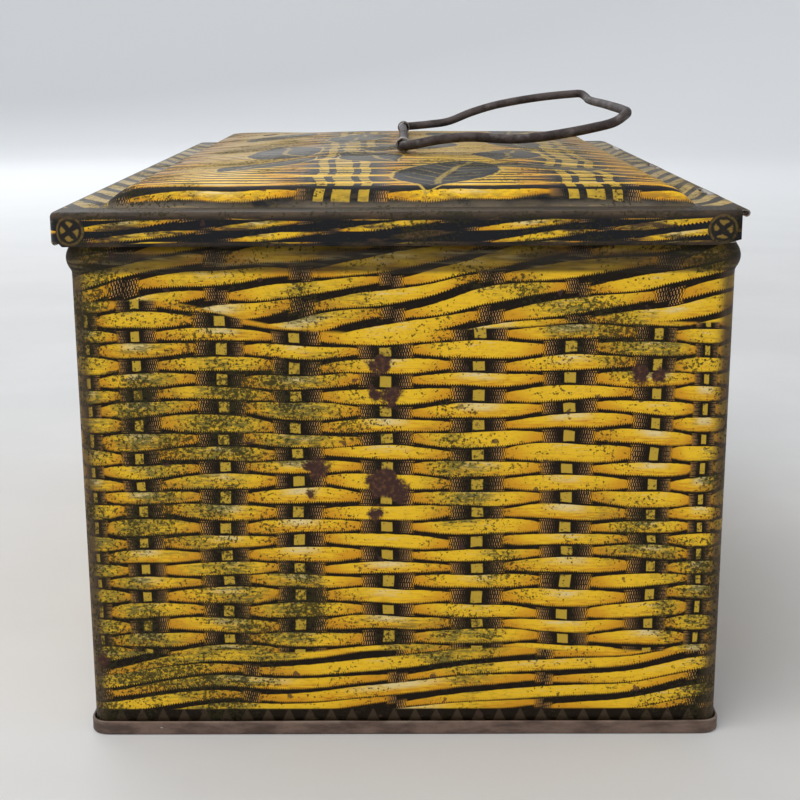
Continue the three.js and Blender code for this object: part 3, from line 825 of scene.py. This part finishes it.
def mesh_object(name, points, faces, materials, slots=None, sheet_places=None):
    """Mesh from points in millimetres. sheet_places holds one point of the print for each face corner."""
    mesh = bpy.data.meshes.new(name)
    mesh.from_pydata((np.asarray(points) * MM).tolist(), [], faces)
    for material in materials:
        mesh.materials.append(material)
    if slots is not None:
        mesh.polygons.foreach_set("material_index", slots)
    if sheet_places is not None:
        layer = mesh.uv_layers.new(name="sheet")
        layer.data.foreach_set("uv", np.asarray(sheet_places, dtype=np.float32).ravel())
    mesh.polygons.foreach_set("use_smooth", [True] * len(mesh.polygons))
    mesh.update()
    piece = bpy.data.objects.new(name, mesh)
    bpy.context.scene.collection.objects.link(piece)
    return piece


def ring_faces(count, rings):
    """Four-sided faces between rings of points that follow each other."""
    faces = []
    for ring in range(rings - 1):
        below, above = ring * count, (ring + 1) * count
        for step in range(count):
            after = (step + 1) % count
            faces.append((below + step, below + after, above + after, above + step))
    return faces


def capped_rings(count, rings):
    """The same faces, with the first and last rings closed."""
    first = tuple(reversed(range(count)))
    last = tuple((rings - 1) * count + step for step in range(count))
    return [first, *ring_faces(count, rings), last]


def thicken(piece, thickness, material_step):
    """Gives a sheet its thickness, inwards, with another material on the inside and the cut edges."""
    modifier = piece.modifiers.new("sheet", "SOLIDIFY")
    modifier.thickness = thickness * MM
    modifier.offset = -1
    modifier.use_even_offset = True
    modifier.material_offset = material_step
    modifier.material_offset_rim = material_step
    apply_modifiers(piece)


def apply_modifiers(piece):
    graph = bpy.context.evaluated_depsgraph_get()
    applied = bpy.data.meshes.new_from_object(piece.evaluated_get(graph))
    piece.modifiers.clear()
    old = piece.data
    piece.data = applied
    bpy.data.meshes.remove(old)


def place_piece(piece, body, slot, *nodes):
    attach(piece, body)
    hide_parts(*nodes)


# ---- Body ----

# Along the sheet, up it, spread along, spread up, and how far out.
WALL_DENTS = (
    (0, 48, 45, 34, -0.35), (-54, 13, 6, 5, -0.35),
    (-40, 84, 14, 6, 0.15), (168, 50, 70, 36, -0.7),
    (120, 24, 9, 7, -0.4), (214, 76, 11, 8, -0.35),
    (-168, 46, 70, 36, -0.6), (-205, 70, 10, 9, -0.4),
    (-96, 20, 8, 6, -0.3), (335, 50, 42, 34, -0.5),
    (352, 21, 7, 6, -0.35),
)
SEAM_PLACE = LAST_CORNER - 9  # upright lap seam on the far end wall
SEAM_HALF = 2.2
SEAM_RISE = 0.22


def wall_rows():
    """Rows of (proud, height) up the wall's outer face, over the bead and round the curled edge."""
    bottom = WALL_LOW.z
    rows = [(0, float(z)) for z in np.linspace(bottom, BEAD_BOTTOM - 0.9, 26)]
    rows.append((0.02, BEAD_BOTTOM - 0.3))
    for t in np.linspace(0.04, 0.96, 15):
        proud = BEAD_PROUD * math.sin(math.pi * t) ** 0.7
        rows.append((proud, BEAD_BOTTOM + t * (BEAD_TOP - BEAD_BOTTOM)))
    curl_z = WALL_HIGH.z - WALL_CURL
    rows += [(0, BEAD_TOP + 0.2), (0, 102.5), (0, 104.5), (0, curl_z)]
    rows += arc(-WALL_CURL, curl_z, WALL_CURL, range(30, 181, 30))
    rows.append((-2 * WALL_CURL, curl_z - 0.5))
    return rows


def outward_from(turn):
    """Unit vectors that point out of a turn round a rectangle."""
    along = np.roll(turn, -1, axis=0) - np.roll(turn, 1, axis=0)
    outward = np.stack((along[:, 1], -along[:, 0]), axis=1)
    return outward / np.linalg.norm(outward, axis=1)[:, None]


def wall_push(places, z):
    """How far dents and the lap seam move the wall out, at one height."""
    held = np.clip(min(z - 3.5, BEAD_BOTTOM - 1.5 - z) / 9, 0, 1)
    from_corner = np.abs(places[:, None] - WALL_CORNERS[:4]).min(axis=1)
    corner_hold = np.clip(from_corner / 8, 0, 1)
    seam = np.clip((SEAM_HALF - abs(places - SEAM_PLACE)) / 0.6, 0, 1) * SEAM_RISE * (z < BEAD_BOTTOM)
    return bump_field(places, z, WALL_DENTS) * held * corner_hold, seam


def body_turn(proud):
    """Outline of the body that far outside its walls."""
    splits = [side_splits(2 * WALL_Y), side_splits(2 * WALL_X)] * 2
    low = (MIDDLE_X - WALL_X - proud, -WALL_Y - proud)
    high = (MIDDLE_X + WALL_X + proud, WALL_Y + proud)
    return turn_round(low, high, [max(BODY_CORNER + proud, 0.5)] * 4, splits)


def make_wall(outside, inside):
    turn, places = body_turn(0)
    places = places - MIDDLE_X
    outward = outward_from(turn)
    count = len(turn)
    rows = wall_rows()
    points = []
    for proud, z in rows:
        push, seam = wall_push(places[:-1], z)
        pushed = turn + outward * (proud + push + seam)[:, None]
        points += [(x, y, z) for x, y in pushed]
    slots, print_points = [], []
    for (_, z0), (_, z1) in zip(rows, rows[1:]):
        slots += [1 if z0 > BEAD_TOP else 0] * count
        for u0, u1 in zip(places, places[1:]):
            print_points += [(u0, z0), (u1, z0), (u1, z1), (u0, z1)]
    faces = ring_faces(count, len(rows))
    wall = mesh_object("wall_skin", points, faces, [outside, inside], slots, print_points)
    thicken(wall, BODY_SHEET, 1)
    place_piece(wall, "tin_body", "printed_wall", "body_wall")


# ---- Lid ----

# Along X and Y, spread along each, and how far up.
LID_DENTS = (
    (61.5, -66, 4.5, 17, -1.25), (61.5, -28, 4, 11, -0.7),
    (60.5, 14, 4, 12, 0.3), (61, 52, 4.5, 14, -0.8),
    (-58, 30, 4.5, 16, -0.5), (-34, -42, 13, 15, -0.9),
    (30, 56, 15, 13, -1), (38, -60, 9, 12, -0.7),
    (-20, 78, 12, 9, -0.6), (6, -20, 22, 20, -0.5),
)
PANEL_INSETS = (1.02, 1.92, 3, 4.6, 6.4, 7.8, 8.5, 9.1, 9.9, 10.9, 12, 13.2, 14.5, 16, 18)
DOME_STEP = 3.4
LID_END_SPAN = 130  # roughly, to space the columns of the lid's ends
HEM_ANGLES = np.radians(np.linspace(400, 200, 7))
SKIRT_FRACTIONS = (0, 0.2, 0.5, 0.8, 1)
EDGE_ANGLES = np.radians((22.5, 45, 67.5))


def dome_rise(inset):
    """Height of the lid above its margin."""
    quarter = math.pi / 2
    ramp = np.clip((inset - CREASE_INSET) / RAMP_WIDTH, 0, 1)
    start = CREASE_INSET + RAMP_WIDTH
    dome = np.clip((inset - start) / ((LID_REAR - LID_FRONT) / 2 - start), 0, 1)
    return RAMP_RISE * np.sin(ramp * quarter) + DOME_RISE * np.sin(dome * quarter)


def lid_turn(inset, splits):
    """Outline of the lid that far inside its outer edge."""
    opened = max(inset - CREASE_INSET, 0)
    half_width = (LID_REAR - LID_FRONT) / 2 - inset
    front = min(max(LID_CORNER - inset, 0.8) + 0.6 * opened, 0.95 * half_width)
    rear = max(front - 1, 0.5)
    low = (LID_FRONT + inset, -LID_HIGH.y + inset)
    high = (LID_REAR - inset, LID_HIGH.y - inset)
    return turn_round(low, high, [front, rear, rear, front], splits)


def flap_bottom(x):
    """Height of the end skirts' lower edge, rounded up at both corners."""
    height = SKIRT_BOTTOM
    for radius, beyond in ((FLAP_REAR_CORNER, x - FLAP_END), (FLAP_FRONT_CORNER, LID_FRONT - x)):
        into = np.clip(beyond + radius, 0, radius)
        height = height + radius - np.sqrt(radius**2 - into**2)
    return height


class LidColumns:
    """The columns of points that run up the lid's skirt and over its top."""

    def __init__(self):
        long_side = 2 * (LID_HIGH.y - LID_EDGE_RADIUS) - 1
        notch_edges = [y + half for y in STRAPS for half in (-STRAP_NOTCH_HALF, STRAP_NOTCH_HALF)]
        notches = [0.5 + edge / long_side for edge in notch_edges]
        end = side_splits(LID_END_SPAN)
        self.splits = [side_splits(long_side), end, side_splits(long_side, notches), end]
        counts = [len(split) + ARC_STEPS for split in self.splits]
        self.side = np.repeat(range(4), counts)
        self.in_arc = np.concatenate([np.arange(count) >= count - ARC_STEPS for count in counts])
        self.front = self.side == 0
        self.straight_rear = (self.side == 2) & ~self.in_arc
        self.rear_corner = self.in_arc & ((self.side == 1) | (self.side == 2))


def skirt_rows(columns):
    """Rows of the hem, the skirt and the lid's rounded edge, from the bottom up."""
    outer, _ = lid_turn(0, columns.splits)
    low_edge = flap_bottom(outer[:, 0])
    low_edge[columns.front] = SKIRT_BOTTOM
    bend = RIM_PLANE - LID_EDGE_RADIUS
    rows = []
    for angle in HEM_ANGLES:
        turn, _ = lid_turn(HEM_RADIUS + HEM_RADIUS * math.cos(angle), columns.splits)
        rows.append(np.column_stack((turn, low_edge + HEM_RADIUS + HEM_RADIUS * math.sin(angle))))
    start = low_edge + np.where(columns.front, HEM_RADIUS, 0)
    for fraction in SKIRT_FRACTIONS:
        rows.append(np.column_stack((outer, start + (bend - start) * fraction)))
    for angle in EDGE_ANGLES:
        turn, _ = lid_turn(LID_EDGE_RADIUS * (1 - math.cos(angle)), columns.splits)
        height = bend + LID_EDGE_RADIUS * math.sin(angle)
        rows.append(np.column_stack((turn, np.full(len(turn), height))))
    return rows


def curl_rear(rows, columns):
    """Bends the rear edge round the hinge wire, where the other sides have their skirt."""
    for row, angle in zip(rows, np.radians(np.linspace(-178, 75, len(rows)))):
        row[columns.straight_rear, 0] = HINGE_X + CURL_RADIUS * math.cos(angle)
        row[columns.straight_rear, 2] = HINGE_Z + CURL_RADIUS * math.sin(angle)


def top_rows(columns):
    """Rows of the margin, the ramp and the dented dome, from the outside in."""
    insets = list(PANEL_INSETS)
    while insets[-1] + DOME_STEP < (LID_REAR - LID_FRONT) / 2 - 2.5:
        insets.append(insets[-1] + DOME_STEP)
    rows = []
    for inset in insets:
        turn, _ = lid_turn(inset, columns.splits)
        held = np.clip((inset - 1.5) / 2.5, 0, 1)
        push = bump_field(turn[:, 0], turn[:, 1], LID_DENTS) * held
        rows.append(np.column_stack((turn, RIM_PLANE + dome_rise(inset) + push)))
    return rows


def lid_faces(columns, ys, skirt_count, row_count):
    """Faces as (column, point numbers, whether the top's print is on it), without the cut-outs.

    The last one closes the middle of the dome.
    """
    count = len(ys)
    for row in range(row_count - 1):
        for column in range(count):
            after = (column + 1) % count
            rear = columns.straight_rear[column] and columns.straight_rear[after]
            middle = (ys[column] + ys[after]) / 2
            in_notch = rear and any(abs(middle - y) < STRAP_NOTCH_HALF for y in STRAPS)
            hemmed = rear or (columns.front[column] and not columns.in_arc[column])
            if in_notch and row <= skirt_count:
                continue
            if columns.rear_corner[column] and row < skirt_count:
                continue
            if row < len(HEM_ANGLES) and not hemmed:
                continue
            below, above = row * count, (row + 1) * count
            corner_ids = (below + column, below + after, above + after, above + column)
            yield column, corner_ids, row >= skirt_count or rear
    yield 0, tuple((row_count - 1) * count + column for column in range(count)), True


def make_lid(top, skirt, inside):
    columns = LidColumns()
    _, sheet_u = lid_turn(0, columns.splits)
    rows = skirt_rows(columns)
    skirt_count = len(rows)
    curl_rear(rows, columns)
    rows += top_rows(columns)
    points = np.concatenate(rows)
    faces, slots, print_points = [], [], []
    for column, corner_ids, on_top in lid_faces(columns, rows[skirt_count][:, 1], skirt_count, len(rows)):
        faces.append(corner_ids)
        slots.append(0 if on_top else 1)
        if on_top:
            print_points += [points[i][:2] for i in corner_ids]
        else:
            ends = (column, column + 1, column + 1, column)
            print_points += [(sheet_u[end], points[i][2]) for end, i in zip(ends, corner_ids)]
    lid = mesh_object("lid_skin", points, faces, [top, skirt, inside], slots, print_points)
    thicken(lid, LID_SHEET, 2)
    place_piece(lid, "lid", "printed_lid", "lid_shell")


# ---- Base ----

BASE_RECESS = 1.6
SEAM_PROUD = (BASE_HIGH.x - BASE_LOW.x) / 2 - WALL_X
# Along the rim, four times up it, spread along, spread up, and how far out.
RIM_KNOCKS = (
    (-58, 8, 3, 6, -0.22), (-12, 10, 6, 5, -0.14),
    (31, 6, 4, 5, -0.16), (62, 9, 3, 6, -0.2),
    (120, 8, 5, 6, -0.25), (190, 6, 8, 6, -0.2),
    (-120, 8, 6, 6, -0.22), (-200, 7, 4, 6, -0.25),
    (330, 8, 7, 6, -0.2),
)


def rim_profile():
    """Rows of (proud, height) of the folded base, from the middle of its underside to that of its top."""
    recess_top = BASE_HIGH.z - 0.92
    rim_top = BASE_HIGH.z
    rows = [(-30, BASE_RECESS), (-14, BASE_RECESS), (-3, BASE_RECESS), (-1.5, BASE_RECESS - 0.1)]
    rows += [(-1.15, BASE_RECESS - 0.5), (-1.06, 0.5), (-0.95, 0.12), (-0.6, 0), (0.2, 0)]
    rows += arc(SEAM_PROUD - 0.45, 0.45, 0.45, range(-90, 1, 18))
    rows += [(SEAM_PROUD - 0.03, 1.2), (SEAM_PROUD - 0.03, 1.8)]
    rows += arc(SEAM_PROUD - 0.3, rim_top - 0.3, 0.3, range(0, 121, 20))
    rows += [(0.3, rim_top - 0.3), (0.47, 2.2), (0.47, 0.4), (-0.68, 0.4), (-0.68, recess_top)]
    rows += [(-3, recess_top), (-30, recess_top)]
    return rows


def make_base(material):
    rows = rim_profile()
    points = []
    for proud, z in rows:
        turn, places = body_turn(proud)
        knock = bump_field(places[:-1], z * 4, RIM_KNOCKS) if proud > 0 else np.zeros(len(turn))
        pulled = turn * (1 + knock / WALL_Y)[:, None]
        points += [(x, y, z) for x, y in pulled]
    base = mesh_object("base_skin", points, capped_rings(len(turn), len(rows)), [material])
    place_piece(base, "tin_body", "printed_base", "base_plate")


# ---- Handle ----

BAIL_RADIUS = BAIL_HIGH.z - (RIM_PLANE + 17)
BAIL_SIDES = 16
BAIL_STEPS = 9  # between two points of its route
PIVOT_HEIGHT = 8.1
BAIL_HALF = 42
# The wire's route, from the middle of the pivot bar round to it again, with heights above the rim plane.
BAIL_ROUTE = (
    (0, 0.3, PIVOT_HEIGHT), (0, 20, PIVOT_HEIGHT), (0, BAIL_HALF - 2, PIVOT_HEIGHT),
    (0.5, BAIL_HALF - 0.5, PIVOT_HEIGHT), (2, BAIL_HALF, PIVOT_HEIGHT + 0.1), (7.5, BAIL_HALF, 8.7),
    (12.4, BAIL_HALF, 9.4), (19, BAIL_HALF, 11.9), (24.6, BAIL_HALF, 13.6), (30.3, BAIL_HALF, 14.8),
    (38.8, BAIL_HALF, 16.1), (47.2, BAIL_HALF, 16.9), (49.8, BAIL_HALF - 0.5, 17),
    (50.9, BAIL_HALF - 2.8, 16.3), (51, 33, 15.7), (51.3, 0, 15.6), (51.2, -33, 15.5),
    (51.2, 2.8 - BAIL_HALF, 15.2), (50.4, 0.5 - BAIL_HALF, 14.7), (48, -BAIL_HALF, 13.2),
    (43, -BAIL_HALF, 11.9), (32.6, -BAIL_HALF, 10.1), (24.6, -BAIL_HALF, 9.5), (15.4, -BAIL_HALF, 10),
    (8.7, -BAIL_HALF, 9.5), (2, -BAIL_HALF, PIVOT_HEIGHT + 0.2), (0.5, 0.5 - BAIL_HALF, PIVOT_HEIGHT),
    (0, 2 - BAIL_HALF, PIVOT_HEIGHT), (0, -20, PIVOT_HEIGHT), (0, -0.3, PIVOT_HEIGHT),
)


def smooth_route(route, steps):
    """Centripetal Catmull-Rom curve through the points of a route."""
    points = [np.array(place, float) for place in route]
    points = [2 * points[0] - points[1], *points, 2 * points[-1] - points[-2]]
    curve = []
    for a, b, c, d in zip(points, points[1:], points[2:], points[3:]):
        t0 = 0
        t1 = t0 + math.sqrt(np.linalg.norm(b - a))
        t2 = t1 + math.sqrt(np.linalg.norm(c - b))
        t3 = t2 + math.sqrt(np.linalg.norm(d - c))
        for t in np.linspace(t1, t2, steps, endpoint=False):
            ab = a + (b - a) * (t - t0) / (t1 - t0)
            bc = b + (c - b) * (t - t1) / (t2 - t1)
            cd = c + (d - c) * (t - t2) / (t3 - t2)
            abc = ab + (bc - ab) * (t - t0) / (t2 - t0)
            bcd = bc + (cd - bc) * (t - t1) / (t3 - t1)
            curve.append(abc + (bcd - abc) * (t - t1) / (t2 - t1))
    curve.append(points[-2])
    return np.array(curve)


def make_bail(material):
    """Round wire swept along its route, worn a little thin in places, its cut ends slightly rounded."""
    curve = smooth_route(BAIL_ROUTE, BAIL_STEPS) + np.array((MIDDLE_X, 0, RIM_PLANE))
    ahead = np.gradient(curve, axis=0)
    ahead /= np.linalg.norm(ahead, axis=1)[:, None]
    side = np.array((0, 0, 1))
    rng = np.random.default_rng(7)
    wear = np.convolve(rng.random(len(curve) + 8), np.ones(9) / 9, "valid")
    points = []
    last = len(curve) - 1
    for index, (middle, forward) in enumerate(zip(curve, ahead)):
        side = side - forward * side.dot(forward)
        side /= np.linalg.norm(side)
        other = np.cross(forward, side)
        radius = BAIL_RADIUS * (1 - 0.07 * wear[index])
        if index in (0, last):
            radius *= 0.8
        for step in range(BAIL_SIDES):
            angle = 2 * math.pi * step / BAIL_SIDES
            points.append(middle + radius * (math.cos(angle) * side + math.sin(angle) * other))
    bail = mesh_object("bail_wire", points, capped_rings(BAIL_SIDES, len(curve)), [material])
    place_piece(bail, "handle", "rusty_wire", "handle_bail")


# ---- Small fittings ----

FITTING_BEVEL = 0.07


def make_fittings(tin, iron):
    """Each small CAD piece again, with its cut edges rounded over."""
    finishes = {"hinge_wire": (iron, "rusty_wire"), "hasp_pin": (iron, "rusty_wire")}
    for name, node in sorted(frame["nodes"].items()):
        if name in ("body_wall", "lid_shell", "base_plate", "handle_bail"):
            continue
        material, slot = finishes.get(name, (tin, "bare_tin"))
        piece = bpy.data.objects.new(name + "_finished", node.data.copy())
        bpy.context.scene.collection.objects.link(piece)
        piece.data.materials.clear()
        piece.data.materials.append(material)
        weld = piece.modifiers.new("weld", "WELD")
        weld.merge_threshold = 0.005 * MM
        bevel = piece.modifiers.new("edges", "BEVEL")
        bevel.width = FITTING_BEVEL * MM
        bevel.segments = 2
        bevel.limit_method = "ANGLE"
        bevel.angle_limit = math.radians(40)
        apply_modifiers(piece)
        piece.data.polygons.foreach_set("use_smooth", [True] * len(piece.data.polygons))
        piece.data.set_sharp_from_angle(angle=math.radians(45))
        place_piece(piece, node["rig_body"], slot, name)


# ---- Floor ----

FLOOR_RADIUS = 1600
COVE_RADIUS = 700
BACKDROP_HEIGHT = 1500
COVE_STEPS = 72


def studio_floor():
    material = new_material("studio_floor")
    tree = material.node_tree
    place = body_place(material)
    cloud = noise(place, 60, seed=121, detail=4)
    tone = mix(cloud.rise(0.35, 0.65), (0.60, 0.60, 0.60), (0.63, 0.63, 0.63))
    tone = mix(distance(place, (0, 0, 0)).rise(300, 1400), tone, (0.86, 0.87, 0.88))
    shader = tree.nodes["Principled BSDF"]
    feed(tree, shader.inputs["Base Color"], tone)
    shader.inputs["Roughness"].default_value = 0.75
    return material


def make_floor():
    """Round stage that curves up into its own backdrop."""
    cove = arc(FLOOR_RADIUS, COVE_RADIUS, COVE_RADIUS, range(-80, 1, 10))
    profile = [(FLOOR_RADIUS, 0), *cove, (FLOOR_RADIUS + COVE_RADIUS, BACKDROP_HEIGHT)]
    turns = [2 * math.pi * step / COVE_STEPS for step in range(COVE_STEPS)]
    points = [(r * math.cos(turn), r * math.sin(turn), z) for r, z in profile for turn in turns]
    middle = len(points)
    points.append((0, 0, 0))
    faces = [tuple(reversed(face)) for face in ring_faces(COVE_STEPS, len(profile))]
    faces += [(middle, step, (step + 1) % COVE_STEPS) for step in range(COVE_STEPS)]
    floor = mesh_object("studio_floor", points, faces, [studio_floor()])


# ---- Scene ----

add_camera()
add_lights()
make_floor()
bpy.context.scene.view_settings.view_transform = "Standard"

tin_inside = inside_tin()
make_wall(printed_wall(), tin_inside)
make_lid(printed_lid(), printed_skirt(), tin_inside)

wire = rusty_wire()
make_base(base_rim())
make_bail(wire)
make_fittings(bare_tin(), wire)
